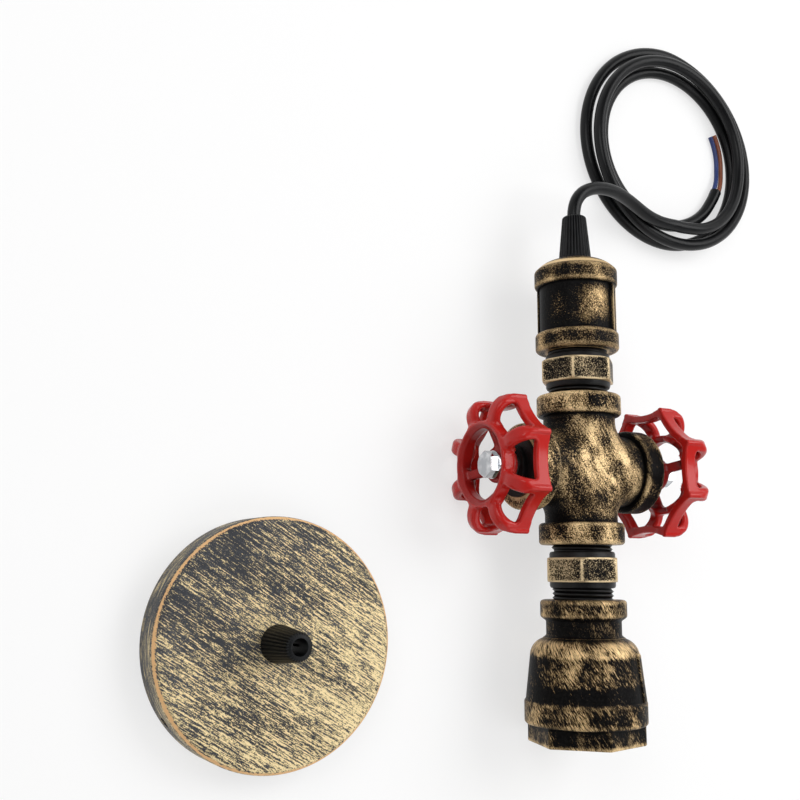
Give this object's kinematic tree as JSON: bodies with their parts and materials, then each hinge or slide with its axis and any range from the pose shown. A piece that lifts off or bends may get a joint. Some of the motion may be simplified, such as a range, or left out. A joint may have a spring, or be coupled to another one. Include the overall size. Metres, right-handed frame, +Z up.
{
  "type": "pendant light",
  "caption": "Pendant light of cast pipe fittings with a lamp holder in a bell reducer, turning handwheels on a cross, cord grip, coiled cord and a round ceiling canopy.",
  "frame": {"origin": "on the surface that the kit lies on, under the middle of the lamp and the canopy together, without the cord", "axes": "+Z up, +X along the lamp towards its mouth, the near handwheel and the canopy towards -Y"},
  "size_m": [0.3511, 0.3231, 0.0584],
  "materials": {
    "antique_iron": "black cast iron with rubbed gold bronze",
    "antique_nipple": "black iron with brushed gold bronze",
    "dark_iron": "black iron",
    "red_enamel": "glossy red enamel",
    "chrome": "bright plated",
    "steel": "zinc plated",
    "black_plastic": "matt moulded",
    "ceramic": "white unglazed",
    "brass": "bright stamped",
    "brown_core": "smooth insulation",
    "blue_core": "smooth insulation",
    "canopy_finish": "black with brushed gold streaks",
    "cord_jacket": "smooth semi-matt"
  },
  "bodies": {
    "lamp": {"bell_reducer": "antique_iron", "lower_nipple": "antique_nipple", "pipe_cross": "antique_iron", "upper_nipple": "antique_nipple", "coupling": "antique_iron", "top_bushing": "antique_nipple", "lamp_grip_stem": "black_plastic", "port_plug_near": "dark_iron", "port_plug_far": "dark_iron", "spindle_near": "steel", "spindle_far": "steel", "wheel_washers": "chrome", "wheel_screws": "chrome", "holder_plate": "steel", "holder_tube": "steel", "holder_nut": "steel", "holder_body": "ceramic", "screw_shell": "brass", "centre_contact": "brass", "terminal_screws": "steel", "brown_wire": "brown_core", "blue_wire": "blue_core", "canopy_bracket": "steel", "cord_lead": "cord_jacket", "cord_coil": "cord_jacket", "brown_core_end": "brown_core", "blue_core_end": "blue_core"},
    "near_wheel": {"handwheel_near": "red_enamel"},
    "far_wheel": {"handwheel_far": "red_enamel"},
    "lamp_cap": {"lamp_grip_cap": "black_plastic"},
    "canopy": {"canopy_shell": "canopy_finish", "canopy_grip_stem": "black_plastic", "canopy_nut": "steel"},
    "canopy_cap": {"canopy_grip_cap": "black_plastic"}
  },
  "joints": [
    {"name": "near_wheel_turn", "type": "hinge", "parent": "lamp", "child": "near_wheel", "pos_m": [-0.002, 0.0244, 0.0292], "axis": [0, -1, 0], "continuous": true},
    {"name": "far_wheel_turn", "type": "hinge", "parent": "lamp", "child": "far_wheel", "pos_m": [-0.002, 0.108, 0.0292], "axis": [0, 1, 0], "continuous": true},
    {"name": "lamp_grip_turn", "type": "hinge", "parent": "lamp", "child": "lamp_cap", "pos_m": [-0.108, 0.0662, 0.0292], "axis": [-1, 0, 0], "range_deg": [0, 360]},
    {"name": "canopy_lift", "type": "slide", "parent": "lamp", "child": "canopy", "axis": [0, 0, 1], "range_m": [0, 0.03]},
    {"name": "canopy_grip_turn", "type": "hinge", "parent": "canopy", "child": "canopy_cap", "pos_m": [0.07, -0.0708, 0.028], "axis": [0, 0, 1], "range_deg": [0, 360]}
  ]
}
